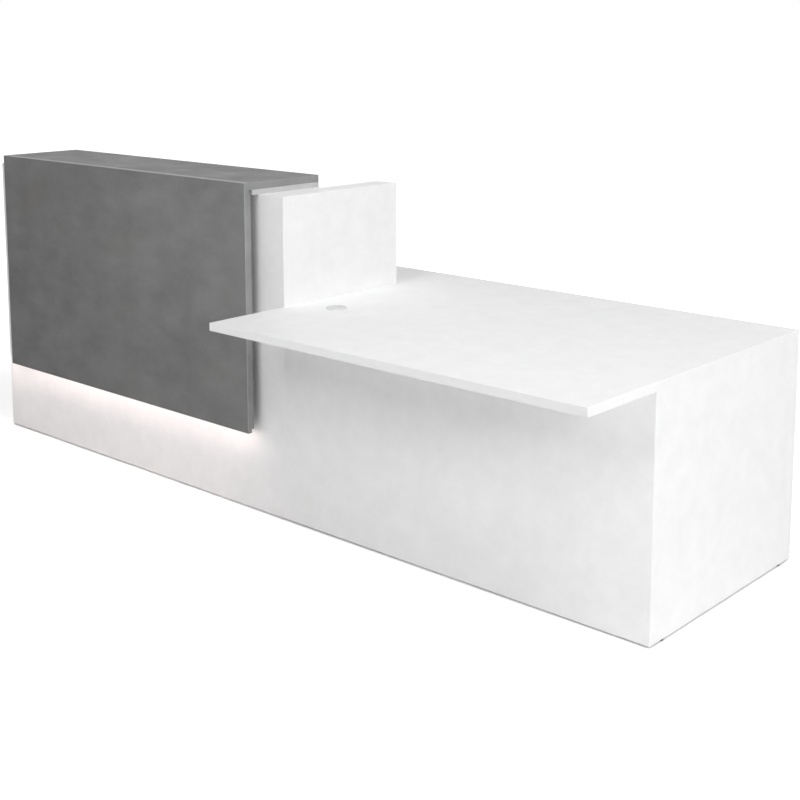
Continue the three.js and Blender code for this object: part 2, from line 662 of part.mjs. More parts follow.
function buildBrackets() {
  const sideY = (BOARD + DESK_DEPTH) / 2;
  const third = (start, length, count) => start + (length * count) / 3;
  const [quarter, turn] = [Math.PI / 2, Math.PI];
  const places = {
    left_end: [BOARD, sideY, 0],
    middle_left: [HIGH_LENGTH - BOARD / 2, sideY, turn],
    high_front_1: [third(0, HIGH_LENGTH, 1), BOARD, quarter],
    high_front_2: [third(0, HIGH_LENGTH, 2), BOARD, quarter],
    middle_right: [HIGH_LENGTH + BOARD / 2, sideY, 0],
    right_end: [LENGTH - BOARD, sideY, turn],
    low_front_1: [third(HIGH_LENGTH, LOW_LENGTH, 1), BOARD, quarter],
    low_front_2: [third(HIGH_LENGTH, LOW_LENGTH, 2), BOARD, quarter],
  };
  for (const [place, [x, y, angle]] of Object.entries(places)) {
    const mesh = addMesh(workshop, `bracket_${place}`, "zinc", bracketGeometry());
    mesh.position.set(snap(x), snap(y), snap(deskUnder));
    mesh.rotation.z = angle;
  }
}

buildDeskBoards();
buildTowers();
buildCounter();
buildFascia();
buildLightChannel();
buildDriver();
buildLead();
buildGrommet();
buildFeet();
buildBrackets();

export default desk;
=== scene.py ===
"""Looks of the reception desk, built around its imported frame. Metres, +Z up, as in the frame."""

import json
import logging
import math
from collections.abc import Callable, Iterable, Sequence
from dataclasses import dataclass, field, replace
from enum import Enum

import bmesh
import bpy
from bpy.types import Material, Node, NodeSocket, Object
from mathutils import Matrix, Vector

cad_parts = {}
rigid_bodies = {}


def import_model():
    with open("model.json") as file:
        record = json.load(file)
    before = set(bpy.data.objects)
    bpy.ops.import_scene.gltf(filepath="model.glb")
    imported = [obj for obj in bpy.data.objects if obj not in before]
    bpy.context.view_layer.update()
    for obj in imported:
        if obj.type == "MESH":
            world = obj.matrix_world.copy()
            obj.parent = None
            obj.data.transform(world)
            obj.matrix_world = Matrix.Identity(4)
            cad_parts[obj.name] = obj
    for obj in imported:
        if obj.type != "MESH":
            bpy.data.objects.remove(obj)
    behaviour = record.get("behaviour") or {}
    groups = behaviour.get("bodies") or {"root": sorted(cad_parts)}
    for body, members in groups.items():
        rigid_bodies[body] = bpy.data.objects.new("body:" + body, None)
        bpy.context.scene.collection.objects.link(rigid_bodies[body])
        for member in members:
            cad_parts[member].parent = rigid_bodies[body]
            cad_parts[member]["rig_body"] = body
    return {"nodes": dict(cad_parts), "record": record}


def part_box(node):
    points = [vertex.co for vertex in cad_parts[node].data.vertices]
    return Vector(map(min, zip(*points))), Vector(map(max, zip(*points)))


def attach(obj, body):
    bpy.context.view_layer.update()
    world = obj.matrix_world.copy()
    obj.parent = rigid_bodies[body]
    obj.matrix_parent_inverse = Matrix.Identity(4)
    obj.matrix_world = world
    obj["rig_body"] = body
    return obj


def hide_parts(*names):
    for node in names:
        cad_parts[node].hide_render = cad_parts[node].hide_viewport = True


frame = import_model()

LOG = logging.getLogger("reception_desk")
SLOTS = {part["node"]: part["material_slot"] for part in frame["record"]["subparts"]}
Colour = tuple[float, float, float]
Point = tuple[float, float, float]
Span = tuple[float, float]
Outline = Sequence[Span]

MM = 0.001
NEAR = 0.1 * MM
SAME_SPOT = 0.002 * MM
SEAM_SNAP = 0.001 * MM
CUT_SNAP = 0.0001 * MM
FLAT_ANGLE = math.radians(0.5)
SHARP_ANGLE = math.radians(50.0)
SQUARE_CORNER: Span = (math.radians(60.0), math.radians(120.0))
SQUARE_ON = 0.99
WARM_WHITE: Colour = (1.0, 0.84, 0.815)
BLACK: Colour = (0.0, 0.0, 0.0)
FULL_WHITE = (1.0, 1.0, 1.0, 1.0)


class Axis(Enum):
    """The frame's axes, as places in a vector."""

    X = 0
    Y = 1
    Z = 2

    @property
    def unit(self) -> Vector:
        """The axis as a vector of length 1."""
        return Vector([float(place == self.value) for place in range(3)])


def stood_on(place: Vector, outward: Vector) -> Matrix:
    """The frame of a part that stands on a face.

    Args:
        place: Where it stands.
        outward: The face's normal, which becomes the part's Z axis.

    Returns:
        The part's frame.
    """
    turn = Vector((0, 0, 1)).rotation_difference(outward)
    return Matrix.Translation(place) @ turn.to_matrix().to_4x4()


class ShaderSheet:
    """A new material's node tree, with the short calls that the finishes share."""

    NOISE_MIDDLE: Span = (0.3, 0.7)
    MIX_COLOURS = (6, 7)
    MIX_RESULT = 2

    def __init__(self, name: str) -> None:
        """Starts a material with its main shader and the piece's own coordinates.

        Args:
            name: The material's name.
        """
        self.material: Material = bpy.data.materials.new(name)
        self.material.use_nodes = True
        self.tree = self.material.node_tree
        self.surface: Node = self.tree.nodes["Principled BSDF"]
        self.place: NodeSocket = self.node("ShaderNodeTexCoord").outputs["Object"]

    def node(self, kind: str, **sockets: object) -> Node:
        """Adds a node and sets or links its inputs.

        Args:
            kind: The node's type.
            **sockets: Input names with spaces as underscores, and a value or a socket for each.

        Returns:
            The new node.
        """
        made = self.tree.nodes.new(kind)
        self.feed(made, **sockets)
        return made

    def feed(self, node: Node, **sockets: object) -> None:
        """Sets or links a node's inputs.

        Args:
            node: The node whose inputs are fed.
            **sockets: Input names with spaces as underscores, and a value or a socket for each.
        """
        for name, value in sockets.items():
            socket = node.inputs[name.replace("_", " ")]
            if isinstance(value, NodeSocket):
                self.tree.links.new(value, socket)
            else:
                socket.default_value = value

    def clouds(
        self, size: float, detail: float = 3.0, rough: float = 0.5, stretch: Point = (1, 1, 1)
    ) -> NodeSocket:
        """Soft noise in the piece's own coordinates.

        Args:
            size: The width of one cloud, in metres.
            detail: How many finer layers it has.
            rough: How strongly the finer layers show.
            stretch: How often it repeats along each axis, against the size.

        Returns:
            A value from 0 to 1.
        """
        mapping = self.node("ShaderNodeMapping", Vector=self.place, Scale=stretch)
        noise = self.node("ShaderNodeTexNoise", Vector=mapping.outputs["Vector"], Scale=1 / size)
        self.feed(noise, Detail=detail, Roughness=rough)
        return noise.outputs[0]

    def spread(self, value: NodeSocket, low: float, high: float) -> NodeSocket:
        """Maps the middle of a noise onto a range.

        Args:
            value: The noise.
            low: What its low end becomes.
            high: What its high end becomes.

        Returns:
            The mapped value.
        """
        return self.span(value, self.NOISE_MIDDLE, (low, high))

    def span(self, value: NodeSocket, before: Span, after: Span) -> NodeSocket:
        """Maps one range onto another.

        Args:
            value: What is mapped.
            before: The range's ends.
            after: What they become.

        Returns:
            The mapped value.
        """
        ends = dict(zip(("From_Min", "From_Max", "To_Min", "To_Max"), (*before, *after)))
        return self.node("ShaderNodeMapRange", Value=value, **ends).outputs["Result"]

    def ramp(self, value: NodeSocket, stops: Sequence[tuple[float, Colour]]) -> NodeSocket:
        """A colour that follows a value.

        Args:
            value: From 0 to 1.
            stops: Each stop's place and colour.

        Returns:
            The colour.
        """
        made = self.node("ShaderNodeValToRGB", Fac=value)
        elements = made.color_ramp.elements
        while len(elements) < len(stops):
            elements.new(1.0)
        for element, (place, colour) in zip(elements, stops):
            element.position = place
            element.color = (*colour, 1.0)
        return made.outputs["Color"]

    def mask(self, value: NodeSocket, ends: Span, level: float) -> NodeSocket:
        """A share that grows with a value.

        Args:
            value: From 0 to 1.
            ends: Where the share starts to grow, and where it is full.
            level: The full share.

        Returns:
            The share, from 0 to its full level.
        """
        return self.ramp(value, list(zip(ends, (BLACK, (level, level, level)))))

    def blend(self, share: NodeSocket | float, first: NodeSocket, second: NodeSocket) -> NodeSocket:
        """Mixes two colours.

        Args:
            share: From 0, the first colour, to 1, the second.
            first: The first colour.
            second: The second colour.

        Returns:
            The mixed colour.
        """
        made = self.tree.nodes.new("ShaderNodeMix")
        made.data_type = "RGBA"
        self.feed(made, Factor=share)
        for value, place in zip((first, second), self.MIX_COLOURS):
            self.tree.links.new(value, made.inputs[place])
        return made.outputs[self.MIX_RESULT]

    def paint_shade_along(self, colour: NodeSocket, axis: Axis, ends: Span, levels: Span) -> NodeSocket:
        """Paints shade along one axis: the colour is darkened or lightened from one end to the other, as
        uneven light would do.

        Args:
            colour: The colour.
            axis: The axis that the painted shade runs along.
            ends: Where on the axis the painted shade starts and ends.
            levels: What the colour is multiplied by there.

        Returns:
            The colour with the painted shade.
        """
        along = self.node("ShaderNodeSeparateXYZ", Vector=self.place).outputs[axis.value]
        made = self.tree.nodes.new("ShaderNodeVectorMath")
        made.operation = "SCALE"
        self.feed(made, Scale=self.span(along, ends, levels))
        self.tree.links.new(colour, made.inputs[0])
        return made.outputs["Vector"]

    def bump(self, height: NodeSocket, depth: float, under: NodeSocket | None = None) -> NodeSocket:
        """Fine relief.

        Args:
            height: The relief's pattern.
            depth: Its depth, in metres.
            under: A normal that it lies on.

        Returns:
            The bent normal.
        """
        made = self.node("ShaderNodeBump", Height=height, Distance=depth, Strength=1.0)
        if under is not None:
            self.feed(made, Normal=under)
        return made.outputs["Normal"]


class Finish:
    """A surface finish, which becomes one node material that its pieces share."""

    name: str

    def material(self) -> Material:
        """Makes the finish's material, or finds it."""
        found = bpy.data.materials.get(self.name)
        if found is None:
            sheet = ShaderSheet(self.name)
            self.paint(sheet)
            found = sheet.material
        return found

    def paint(self, sheet: ShaderSheet) -> None:
        """Builds the finish's nodes.

        Args:
            sheet: The new material's node tree.
        """
        raise NotImplementedError


@dataclass(frozen=True)
class Melamine(Finish):
    """A melamine-faced or edge-banded board: a faintly clouded tone under a fine pearl relief."""

    name: str
    dark: Colour
    light: Colour
    roughness: Span
    cloud: float = 0.07
    pearl: float = 0.0011
    relief: float = 0.00002
    shine: float = 0.35

    def paint(self, sheet: ShaderSheet) -> None:
        """Builds the finish's nodes.

        Args:
            sheet: The new material's node tree.
        """
        tone = sheet.clouds(self.cloud, detail=7.0, rough=0.7)
        colour = sheet.ramp(tone, [(0.34, self.dark), (0.66, self.light)])
        gloss = sheet.spread(sheet.clouds(self.cloud / 4), *self.roughness)
        normal = sheet.bump(sheet.clouds(self.pearl, detail=1.0), self.relief)
        sheet.feed(sheet.surface, Base_Color=colour, Roughness=gloss, Normal=normal)
        sheet.feed(sheet.surface, Specular_IOR_Level=self.shine)


@dataclass(frozen=True)
class ConcreteLaminate(Finish):
    """Concrete-look laminate: clouds and mottles, faint warm stains, a sandy grain and pale flecks,
    under a painted shade that can darken it along the desk and towards its lower edge.
    """

    name: str
    deep: Colour
    mid: Colour
    pale: Colour
    stain: Colour
    roughness: Span = (0.5, 0.68)
    cloud: float = 0.46
    mottle: float = 0.11
    grain: float = 0.004
    relief: float = 0.00006
    pull: Point = (0.55, 1.0, 1.0)  # how often the clouds repeat along each axis
    mottled: float = 0.62  # the mottles' share against the clouds
    stained: float = 0.6
    flecked: float = 0.3
    length: Span = (-1.55, 0.0)  # the ends along the desk of a painted shade; the next field gives its tones there
    along: Span = (1.0, 1.0)
    rise: Span = (0.26, 1.15)  # the lower and upper ends of a painted shade; the next field gives its tones there
    shade_upward: Span = (1.0, 1.0)

    def paint(self, sheet: ShaderSheet) -> None:
        """Builds the finish's nodes.

        Args:
            sheet: The new material's node tree.
        """
        stops = list(zip((0.3, 0.5, 0.7), (self.deep, self.mid, self.pale)))
        drifts = sheet.clouds(self.cloud, stretch=self.pull)
        mottles = sheet.clouds(self.mottle, detail=6.0, rough=0.66, stretch=self.pull)
        body = sheet.blend(self.mottled, sheet.ramp(drifts, stops), sheet.ramp(mottles, stops))
        patches = sheet.clouds(self.cloud / 2, detail=5.0, rough=0.6, stretch=self.pull)
        share = sheet.mask(patches, (0.52, 0.7), self.stained)
        warm = sheet.ramp(mottles, [(0.35, self.stain), (0.7, self.mid)])
        stained = sheet.blend(share, body, warm)
        grain = sheet.clouds(self.grain, detail=4.0)
        flecks = sheet.mask(grain, (0.62, 0.8), self.flecked)
        light = sheet.ramp(grain, [(0.4, self.mid), (0.7, self.pale)])
        # Painted shade: the colour is darkened or lightened along the desk and up the sheet.
        colour = sheet.paint_shade_along(sheet.blend(flecks, stained, light), Axis.X, self.length, self.along)
        colour = sheet.paint_shade_along(colour, Axis.Z, self.rise, self.shade_upward)
        gloss = sheet.spread(sheet.clouds(self.mottle, detail=4.0), *self.roughness)
        normal = sheet.bump(grain, self.relief)
        sheet.feed(sheet.surface, Base_Color=colour, Roughness=gloss, Normal=normal)


@dataclass(frozen=True)
class Softwood(Finish):
    """Planed softwood: growth rings cut lengthwise, with fine pores along the grain."""

    name: str
    grain: Axis
    early: Colour = (0.62, 0.45, 0.26)
    late: Colour = (0.43, 0.27, 0.13)
    roughness: Span = (0.6, 0.78)
    ring: float = 0.011
    pull: float = 0.06  # how often the grain repeats lengthwise, against across
    relief: float = 0.0001

    def paint(self, sheet: ShaderSheet) -> None:
        """Builds the finish's nodes.

        Args:
            sheet: The new material's node tree.
        """
        along = tuple(self.pull if axis is self.grain else 1.0 for axis in Axis)
        rings = sheet.clouds(self.ring, detail=2.0, stretch=along)
        pores = sheet.clouds(self.ring / 9, detail=2.0, stretch=along)
        colour = sheet.ramp(rings, [(0.35, self.early), (0.52, self.late), (0.62, self.early)])
        gloss = sheet.spread(pores, *self.roughness)
        normal = sheet.bump(pores, self.relief)
        sheet.feed(sheet.surface, Base_Color=colour, Roughness=gloss, Normal=normal)


@dataclass(frozen=True)
class DrawnMetal(Finish):
    """Drawn, rolled or plated metal: streaks along one axis and a cloudy sheen."""

    name: str
    dark: Colour
    light: Colour
    roughness: Span
    grain: Axis = Axis.X
    streak: float = 0.0012
    cloud: float = 0.02
    pull: float = 0.02  # how often the streaks repeat lengthwise, against across
    relief: float = 0.00002

    def paint(self, sheet: ShaderSheet) -> None:
        """Builds the finish's nodes.

        Args:
            sheet: The new material's node tree.
        """
        along = tuple(self.pull if axis is self.grain else 1.0 for axis in Axis)
        streaks = sheet.clouds(self.streak, detail=2.0, stretch=along)
        sheen = sheet.clouds(self.cloud, detail=3.0)
        colour = sheet.ramp(sheen, [(0.3, self.dark), (0.7, self.light)])
        gloss = sheet.spread(streaks, *self.roughness)
        normal = sheet.bump(streaks, self.relief)
        sheet.feed(sheet.surface, Base_Color=colour, Roughness=gloss, Normal=normal, Metallic=1.0)


@dataclass(frozen=True)
class MouldedPlastic(Finish):
    """Moulded plastic: an even tone with a fine spark-eroded grain."""

    name: str
    dark: Colour
    light: Colour
    roughness: Span = (0.42, 0.55)
    cloud: float = 0.02
    grain: float = 0.0006
    relief: float = 0.00003

    def paint(self, sheet: ShaderSheet) -> None:
        """Builds the finish's nodes.

        Args:
            sheet: The new material's node tree.
        """
        tone = sheet.clouds(self.cloud, detail=2.0)
        texture = sheet.clouds(self.grain, detail=1.0)
        colour = sheet.ramp(tone, [(0.3, self.dark), (0.7, self.light)])
        gloss = sheet.spread(texture, *self.roughness)
        normal = sheet.bump(texture, self.relief)
        sheet.feed(sheet.surface, Base_Color=colour, Roughness=gloss, Normal=normal)


@dataclass(frozen=True)
class OpalDiffuser(Finish):
    """The lit opal strip: warm white, with the faint beat of the light chips behind it."""

    name: str
    light: Colour
    strength: float
    chip_pitch: float
    middle: Colour = (1.0, 0.96, 0.93)
    beat: Span = (0.94, 1.06)

    def paint(self, sheet: ShaderSheet) -> None:
        """Builds the finish's nodes.

        Args:
            sheet: The new material's node tree.
        """
        chips = sheet.clouds(self.chip_pitch, detail=1.0, stretch=(1.0, 0.2, 0.2))
        glow = sheet.spread(chips, *(level * self.strength for level in self.beat))
        tone = sheet.ramp(chips, [(0.3, self.light), (0.7, self.middle)])
        sheet.feed(sheet.surface, Base_Color=tone, Roughness=0.5, Emission_Strength=glow)
        sheet.feed(sheet.surface, Emission_Color=(*self.light, 1.0))


@dataclass
class Piece:
    """A mesh in the making, the body that carries it and the record's slot for its finish."""

    name: str
    body: str
    slot: str
    mesh: bmesh.types.BMesh = field(default_factory=bmesh.new)
    stands_for: tuple[str, ...] = ()

    @classmethod
    def from_node(cls, node: str) -> "Piece":
        """Starts a piece from a CAD node's own faces, joined up and freed of flat edges.

        Args:
            node: The CAD node, which the piece then stands for.

        Returns:
            The piece, ready to be eased and dressed.
        """
        cad = frame["nodes"][node]
        piece = cls(f"finished_{node}", cad["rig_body"], SLOTS[node], stands_for=(node,))
        piece.mesh.from_mesh(cad.data)
        piece.weld()
        flat = {"verts": piece.mesh.verts, "edges": piece.mesh.edges}
        bmesh.ops.dissolve_limit(piece.mesh, angle_limit=FLAT_ANGLE, **flat)
        return piece

    def ease(self, width: float, segments: int = 3) -> "Piece":
        """Rounds the square arrises, and leaves mitred and flat ones as they are.

        Args:
            width: How far a rounding reaches from its arris.
            segments: The rounding's strips.

        Returns:
            The same piece.
        """
        least, most = SQUARE_CORNER
        square = [edge for edge in self.mesh.edges if least < edge.calc_face_angle(0.0) < most]
        shape = {"offset_type": "OFFSET", "profile": 0.5, "affect": "EDGES", "clamp_overlap": True}
        bmesh.ops.bevel(self.mesh, geom=square, offset=width, segments=segments, **shape)
        return self

    def trim(self, point: Vector, outward: Vector) -> "Piece":
        """Cuts off what lies beyond a plane, and closes the cut.

        Args:
            point: A point of the plane.
            outward: The plane's normal, towards what is cut off.

        Returns:
            The same piece.
        """
        geometry = [*self.mesh.verts, *self.mesh.edges, *self.mesh.faces]
        plane = {"plane_co": point, "plane_no": outward, "clear_outer": True}
        cut = bmesh.ops.bisect_plane(self.mesh, geom=geometry, dist=CUT_SNAP, **plane)
        rim = [item for item in cut["geom_cut"] if isinstance(item, bmesh.types.BMEdge)]
        bmesh.ops.holes_fill(self.mesh, edges=rim)
        return self

    def weld(self) -> "Piece":
        """Joins the corners that lie on the same spot."""
        bmesh.ops.remove_doubles(self.mesh, verts=self.mesh.verts, dist=SAME_SPOT)
        return self

    def turned(self, profile: Outline, place: Matrix, sides: int = 32) -> "Piece":
        """Adds a turned solid.

        Args:
            profile: Its (radius, height) pairs, from its lower end on the axis to its upper end.
            place: Where its axis and foot go.
            sides: The facets round it.

        Returns:
            The same piece.
        """
        rings: list[list[bmesh.types.BMVert]] = []
        for radius, height in profile:
            count = sides if radius > 0 else 1
            angles = [math.tau * step / count for step in range(count)]
            points = [Vector((radius * math.cos(a), radius * math.sin(a), height)) for a in angles]
            rings.append([self.mesh.verts.new(place @ point) for point in points])
        for lower, upper in zip(rings, rings[1:]):
            for step in range(sides):
                corners = [
                    lower[step % len(lower)],
                    lower[(step + 1) % len(lower)],
                    upper[(step + 1) % len(upper)],
                    upper[step % len(upper)],
                ]
                self.mesh.faces.new(list(dict.fromkeys(corners)))
        return self

    def block(self, low: Vector, high: Vector) -> "Piece":
        """Adds a square block.

        Args:
            low: Its lowest corner.
            high: Its highest corner.

        Returns:
            The same piece.
        """
        place = Matrix.Translation((low + high) / 2) @ Matrix.Diagonal((*(high - low), 1.0))
        bmesh.ops.create_cube(self.mesh, size=1.0, matrix=place)
        return self

    def finish(
        self, *finishes: Finish, pick: Callable[[bmesh.types.BMFace], int] | None = None
    ) -> Object:
        """Makes the piece an object of the scene, dressed and carried by its body.

        Args:
            *finishes: The finishes on it.
            pick: Gives the place of a face's finish among them, where there are several.

        Returns:
            The object.
        """
        bmesh.ops.recalc_face_normals(self.mesh, faces=self.mesh.faces)
        for face in self.mesh.faces:
            face.smooth = True
            face.material_index = pick(face) if pick else 0
        data = bpy.data.meshes.new(self.name)
        self.mesh.to_mesh(data)
        self.mesh.free()
        data.set_sharp_from_angle(angle=SHARP_ANGLE)
        for finish in finishes:
            data.materials.append(finish.material())
        made = bpy.data.objects.new(self.name, data)
        bpy.context.scene.collection.objects.link(made)
        made.modifiers.new("even faces", "WEIGHTED_NORMAL").keep_sharp = True
        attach(made, self.body)
        if self.stands_for:
            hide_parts(*self.stands_for)
        LOG.info("%s: %d faces, on %s", made.name, len(data.polygons), self.body)
        return made


WHITE = Melamine("white melamine", (0.849, 0.849, 0.85), (0.895, 0.895, 0.896), (0.46, 0.56))
WHITE_BAND = Melamine(
    "white edge band", (0.86, 0.86, 0.861), (0.89, 0.89, 0.891), (0.36, 0.44), relief=0.00001
)
# Painted highlight: the white boards' eased arrises and mitre chamfers are coloured lighter than faces
# and bands, to show as bright lines.
WHITE_ARRIS_HIGHLIGHT = Melamine(
    "white arris with painted highlight", (0.93, 0.93, 0.932), (0.95, 0.95, 0.952), (0.28, 0.36), relief=0.00001
)
# The counter's sub-top gets edges coloured pale grey, about half as light as the white boards' bands, so
# its ends show darker.
SUB_TOP_EDGE_GREY = Melamine("pale grey sub-top edges", (0.5, 0.501, 0.503), (0.55, 0.551, 0.553), (0.34, 0.44))
CONCRETE = ConcreteLaminate(
    "concrete laminate",
    deep=(0.12, 0.1205, 0.121),
    mid=(0.161, 0.1615, 0.162),
    pale=(0.205, 0.2055, 0.206),
    stain=(0.142, 0.138, 0.121),
)
# The fascia's laminate carries painted shade: darker towards the desk's left end and towards its lower
# edge.
FASCIA_CONCRETE_PAINTED_SHADE = replace(
    CONCRETE, name="concrete laminate of the fascia with painted shade", along=(0.72, 1.24), shade_upward=(0.85, 1.0)
)
CONCRETE_BAND = Melamine("concrete edge band", (0.252, 0.253, 0.255), (0.298, 0.299, 0.301), (0.4, 0.5))
# Painted highlight: the fascia's eased arrises are coloured lighter than its edge bands, to show as a
# light line.
CONCRETE_ARRIS_HIGHLIGHT = Melamine("concrete arris with painted highlight", (0.305, 0.309, 0.313), (0.35, 0.354, 0.358), (0.4, 0.5))
DARK_BACKING = Melamine("dark backing melamine", (0.085, 0.086, 0.09), (0.115, 0.116, 0.12), (0.5, 0.62))
TIMBER_ALONG = Softwood("softwood along the desk", Axis.X)
TIMBER_ACROSS = Softwood("softwood across the desk", Axis.Y)
ALUMINIUM = DrawnMetal("anodised extrusion", (0.66, 0.67, 0.68), (0.74, 0.75, 0.76), (0.26, 0.4))
ZINC = DrawnMetal("zinc-plated steel", (0.52, 0.54, 0.57), (0.68, 0.69, 0.7), (0.28, 0.45))
CIRCUIT = MouldedPlastic("light circuit", (0.86, 0.84, 0.78), (0.92, 0.9, 0.84))
CHIP = MouldedPlastic("light chip", (0.85, 0.66, 0.2), (0.92, 0.76, 0.32), (0.2, 0.3))
GREY_PLASTIC = MouldedPlastic("grey plastic", (0.62, 0.622, 0.625), (0.68, 0.682, 0.685))
WHITE_PLASTIC = MouldedPlastic("off-white plastic", (0.7, 0.705, 0.71), (0.77, 0.772, 0.775))
BLACK_PLASTIC = MouldedPlastic("black plastic", (0.018, 0.018, 0.02), (0.028, 0.028, 0.03))


class Zone(Enum):
    """Where a face lies on a banded board, as the place of its finish."""

    FACE = 0
    BAND = 1
    RIM = 2


@dataclass
class Boards:
    """Boards with edge bands: the desk's panels and tops, its towers and the counter's carcass."""

    face: Finish
    edge: Finish
    # the finish of the eased arrises; on the white boards and the fascia it is a painted highlight
    rim: Finish
    nodes: Sequence[str]
    arris: float = 1.0 * MM
    band: float = 1.8 * MM

    def build(self) -> None:
        """Makes every board of the set."""
        for node in self.nodes:
            self.make(node)

    def make(self, node: str) -> Object:
        """Makes one board with its bands and eased arrises.

        Args:
            node: The CAD board that it stands for.

        Returns:
            The board.
        """
        low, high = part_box(node)
        thin = min(Axis, key=lambda axis: high[axis.value] - low[axis.value])
        seams = [
            (axis, low[axis.value] + self.band, high[axis.value] - self.band)
            for axis in Axis
            if axis is not thin
        ]
        piece = Piece.from_node(node)
        self.part_bands(piece, seams)
        piece.ease(self.arris)
        self.trim_corners(piece, node)
        piece.weld()

        def zone(face: bmesh.types.BMFace) -> int:
            """The zone of a face, by the way it points and the seams that it lies between."""
            middle = face.calc_center_median()
            # Eased arrises take the rim finish, a painted highlight where it is lighter than the band.
            if max(abs(part) for part in face.normal) < SQUARE_ON:
                return Zone.RIM.value
            inside = all(first < middle[axis.value] < last for axis, first, last in seams)
            broad = abs(face.normal[thin.value]) >= SQUARE_ON
            return Zone.FACE.value if inside and broad else Zone.BAND.value

        return piece.finish(self.face, self.edge, self.rim, pick=zone)

    @staticmethod
    def part_bands(piece: Piece, seams: Iterable[tuple[Axis, float, float]]) -> None:
        """Parts a board's faces along the seams of its edge bands.

        Args:
            piece: The board.
            seams: The axis across two seams, and their places on it.
        """
        for axis, first, last in seams:
            for at in (first, last):
                geometry = [*piece.mesh.verts, *piece.mesh.edges, *piece.mesh.faces]
                plane = {"plane_co": axis.unit * at, "plane_no": axis.unit}
                bmesh.ops.bisect_plane(piece.mesh, geom=geometry, dist=SEAM_SNAP, **plane)

    def trim_corners(self, piece: Piece, node: str) -> None:
        """Does nothing: a square board has its corners eased already.

        Args:
            piece: The board.
            node: Its CAD node.
        """


class Corner(Enum):
    """The mitred corners of the desk's right end, by the direction in which each one points."""

    UPRIGHT = Vector((1.0, -1.0, 0.0)).normalized().freeze()
    TOP = Vector((1.0, 0.0, 1.0)).normalized().freeze()


@dataclass
class MitredBoards(Boards):
    """The boards that meet in mitres at the right end, each trimmed to its half of the chamfers."""

    chamfer: float = 0.6 * MM
    corners: dict[str, tuple[Corner, ...]] = field(
        default_factory=lambda: {
            "end_panel_right": (Corner.UPRIGHT, Corner.TOP),
            "front_panel_low": (Corner.UPRIGHT,),
            "desktop_low": (Corner.TOP,),
        }
    )

    def trim_corners(self, piece: Piece, node: str) -> None:
        """Chamfers a board's mitred corners.

        Args:
            piece: The board.
            node: Its CAD node.
        """
        low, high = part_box("end_panel_right")
        meeting = Vector((high.x, low.y, high.z))
        for corner in self.corners[node]:
            piece.trim(meeting - corner.value * self.chamfer, corner.value)


@dataclass
class EasedParts:
    """Plain parts that keep their CAD shape and get eased arrises and one finish."""

    surface: Finish
    nodes: Sequence[str]
    arris: float

    def build(self) -> None:
        """Makes every part of the set."""
        for node in self.nodes:
            Piece.from_node(node).ease(self.arris).finish(self.surface)


@dataclass
class CrossHeadScrews:
    """Pan-head screws with a cross recess."""

    radius: float = 4.0 * MM
    height: float = 2.4 * MM
    recess: float = 1.2 * MM
    arm: float = 2.2 * MM
    arm_width: float = 0.9 * MM
    sides: int = 24
    dome: Outline = ((1.0, 0.0), (1.0, 0.35), (0.93, 0.7), (0.78, 0.92), (0.66, 1.0))

    def add(self, piece: Piece, place: Matrix) -> None:
        """Adds one screw head to a piece.

        Args:
            piece: What the head is added to.
            place: The head's seat, with Z along the screw and out of the work.
        """
        mesh = piece.mesh
        rings = [
            self.ring(mesh, place, self.circle(self.radius * share), self.height * rise)
            for share, rise in self.dome
        ]
        cross = self.cross()
        rings.append(self.ring(mesh, place, cross, self.height))
        rings.append(self.ring(mesh, place, cross, self.height - self.recess))
        for lower, upper in zip(rings, rings[1:]):
            bmesh.ops.bridge_loops(mesh, edges=lower + upper)
        for end in (rings[0], rings[-1]):
            bmesh.ops.contextual_create(mesh, geom=end)

    def circle(self, radius: float) -> Outline:
        """A round outline with the head's number of sides."""
        angles = [math.tau * step / self.sides for step in range(self.sides)]
        return [(radius * math.cos(angle), radius * math.sin(angle)) for angle in angles]

    def cross(self) -> Outline:
        """The recess's outline: one arm's corners, turned to four sides."""
        reach, half = self.arm, self.arm_width / 2
        arm = ((reach, -half), (reach, half), (half, half))
        turns = ((1, 0), (0, 1), (-1, 0), (0, -1))
        return [(x * cos - y * sin, x * sin + y * cos) for cos, sin in turns for x, y in arm]

    @staticmethod
    def ring(
        mesh: bmesh.types.BMesh, place: Matrix, outline: Outline, height: float
    ) -> list[bmesh.types.BMEdge]:
        """Adds a closed ring of edges.

        Args:
            mesh: The mesh that gets it.
            place: The ring's frame.
            outline: Its points.
            height: How far up the frame's Z it lies.

        Returns:
            The ring's edges.
        """
        verts = [mesh.verts.new(place @ Vector((x, y, height))) for x, y in outline]
        return [mesh.edges.new(pair) for pair in zip(verts, verts[1:] + verts[:1])]


